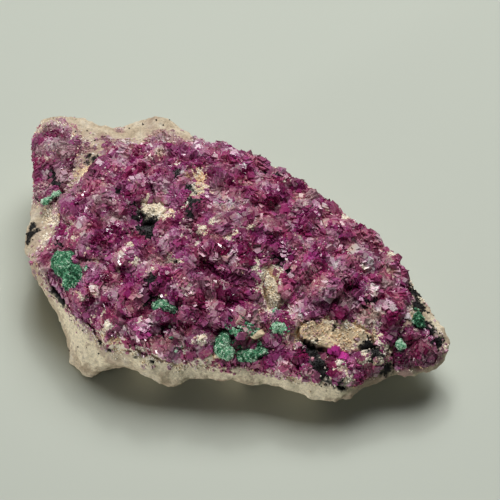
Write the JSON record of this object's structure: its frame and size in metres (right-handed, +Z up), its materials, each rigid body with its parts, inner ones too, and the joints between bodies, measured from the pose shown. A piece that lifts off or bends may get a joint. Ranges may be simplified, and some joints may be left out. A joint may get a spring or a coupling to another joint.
{
  "type": "mineral specimen of cobaltoan calcite with malachite",
  "caption": "Leaf-shaped hand specimen: a tan host rock crusted with sparkling magenta calcite rhombs and dotted with green malachite tufts.",
  "frame": {"origin": "on the table, under the middle of the stone's bounding box", "axes": "+X along the stone's length, towards its pointed end; +Z up, out of the crystal crust; the stone rests on its underside at z = 0"},
  "size_m": [0.0512, 0.0292, 0.0138],
  "materials": {
    "host_rock": "dull, granular, broken surface of tan rock with black oxide stains",
    "cobaltoan_calcite": "glassy magenta to wine-red crystals, some of them pale pink",
    "malachite": "velvety green fibrous tufts"
  },
  "bodies": {
    "root": {"matrix_rock": "host_rock", "calcite_druse_main": "cobaltoan_calcite", "calcite_druse_corner": "cobaltoan_calcite", "calcite_druse_tip": "cobaltoan_calcite", "malachite_tuft_left": "malachite", "malachite_strip_upper_left": "malachite", "malachite_tuft_middle": "malachite", "malachite_tuft_front": "malachite", "malachite_tuft_front_right": "malachite", "malachite_chip_middle": "malachite", "malachite_ball_tip": "malachite", "malachite_chip_tip": "malachite"}
  },
  "joints": []
}
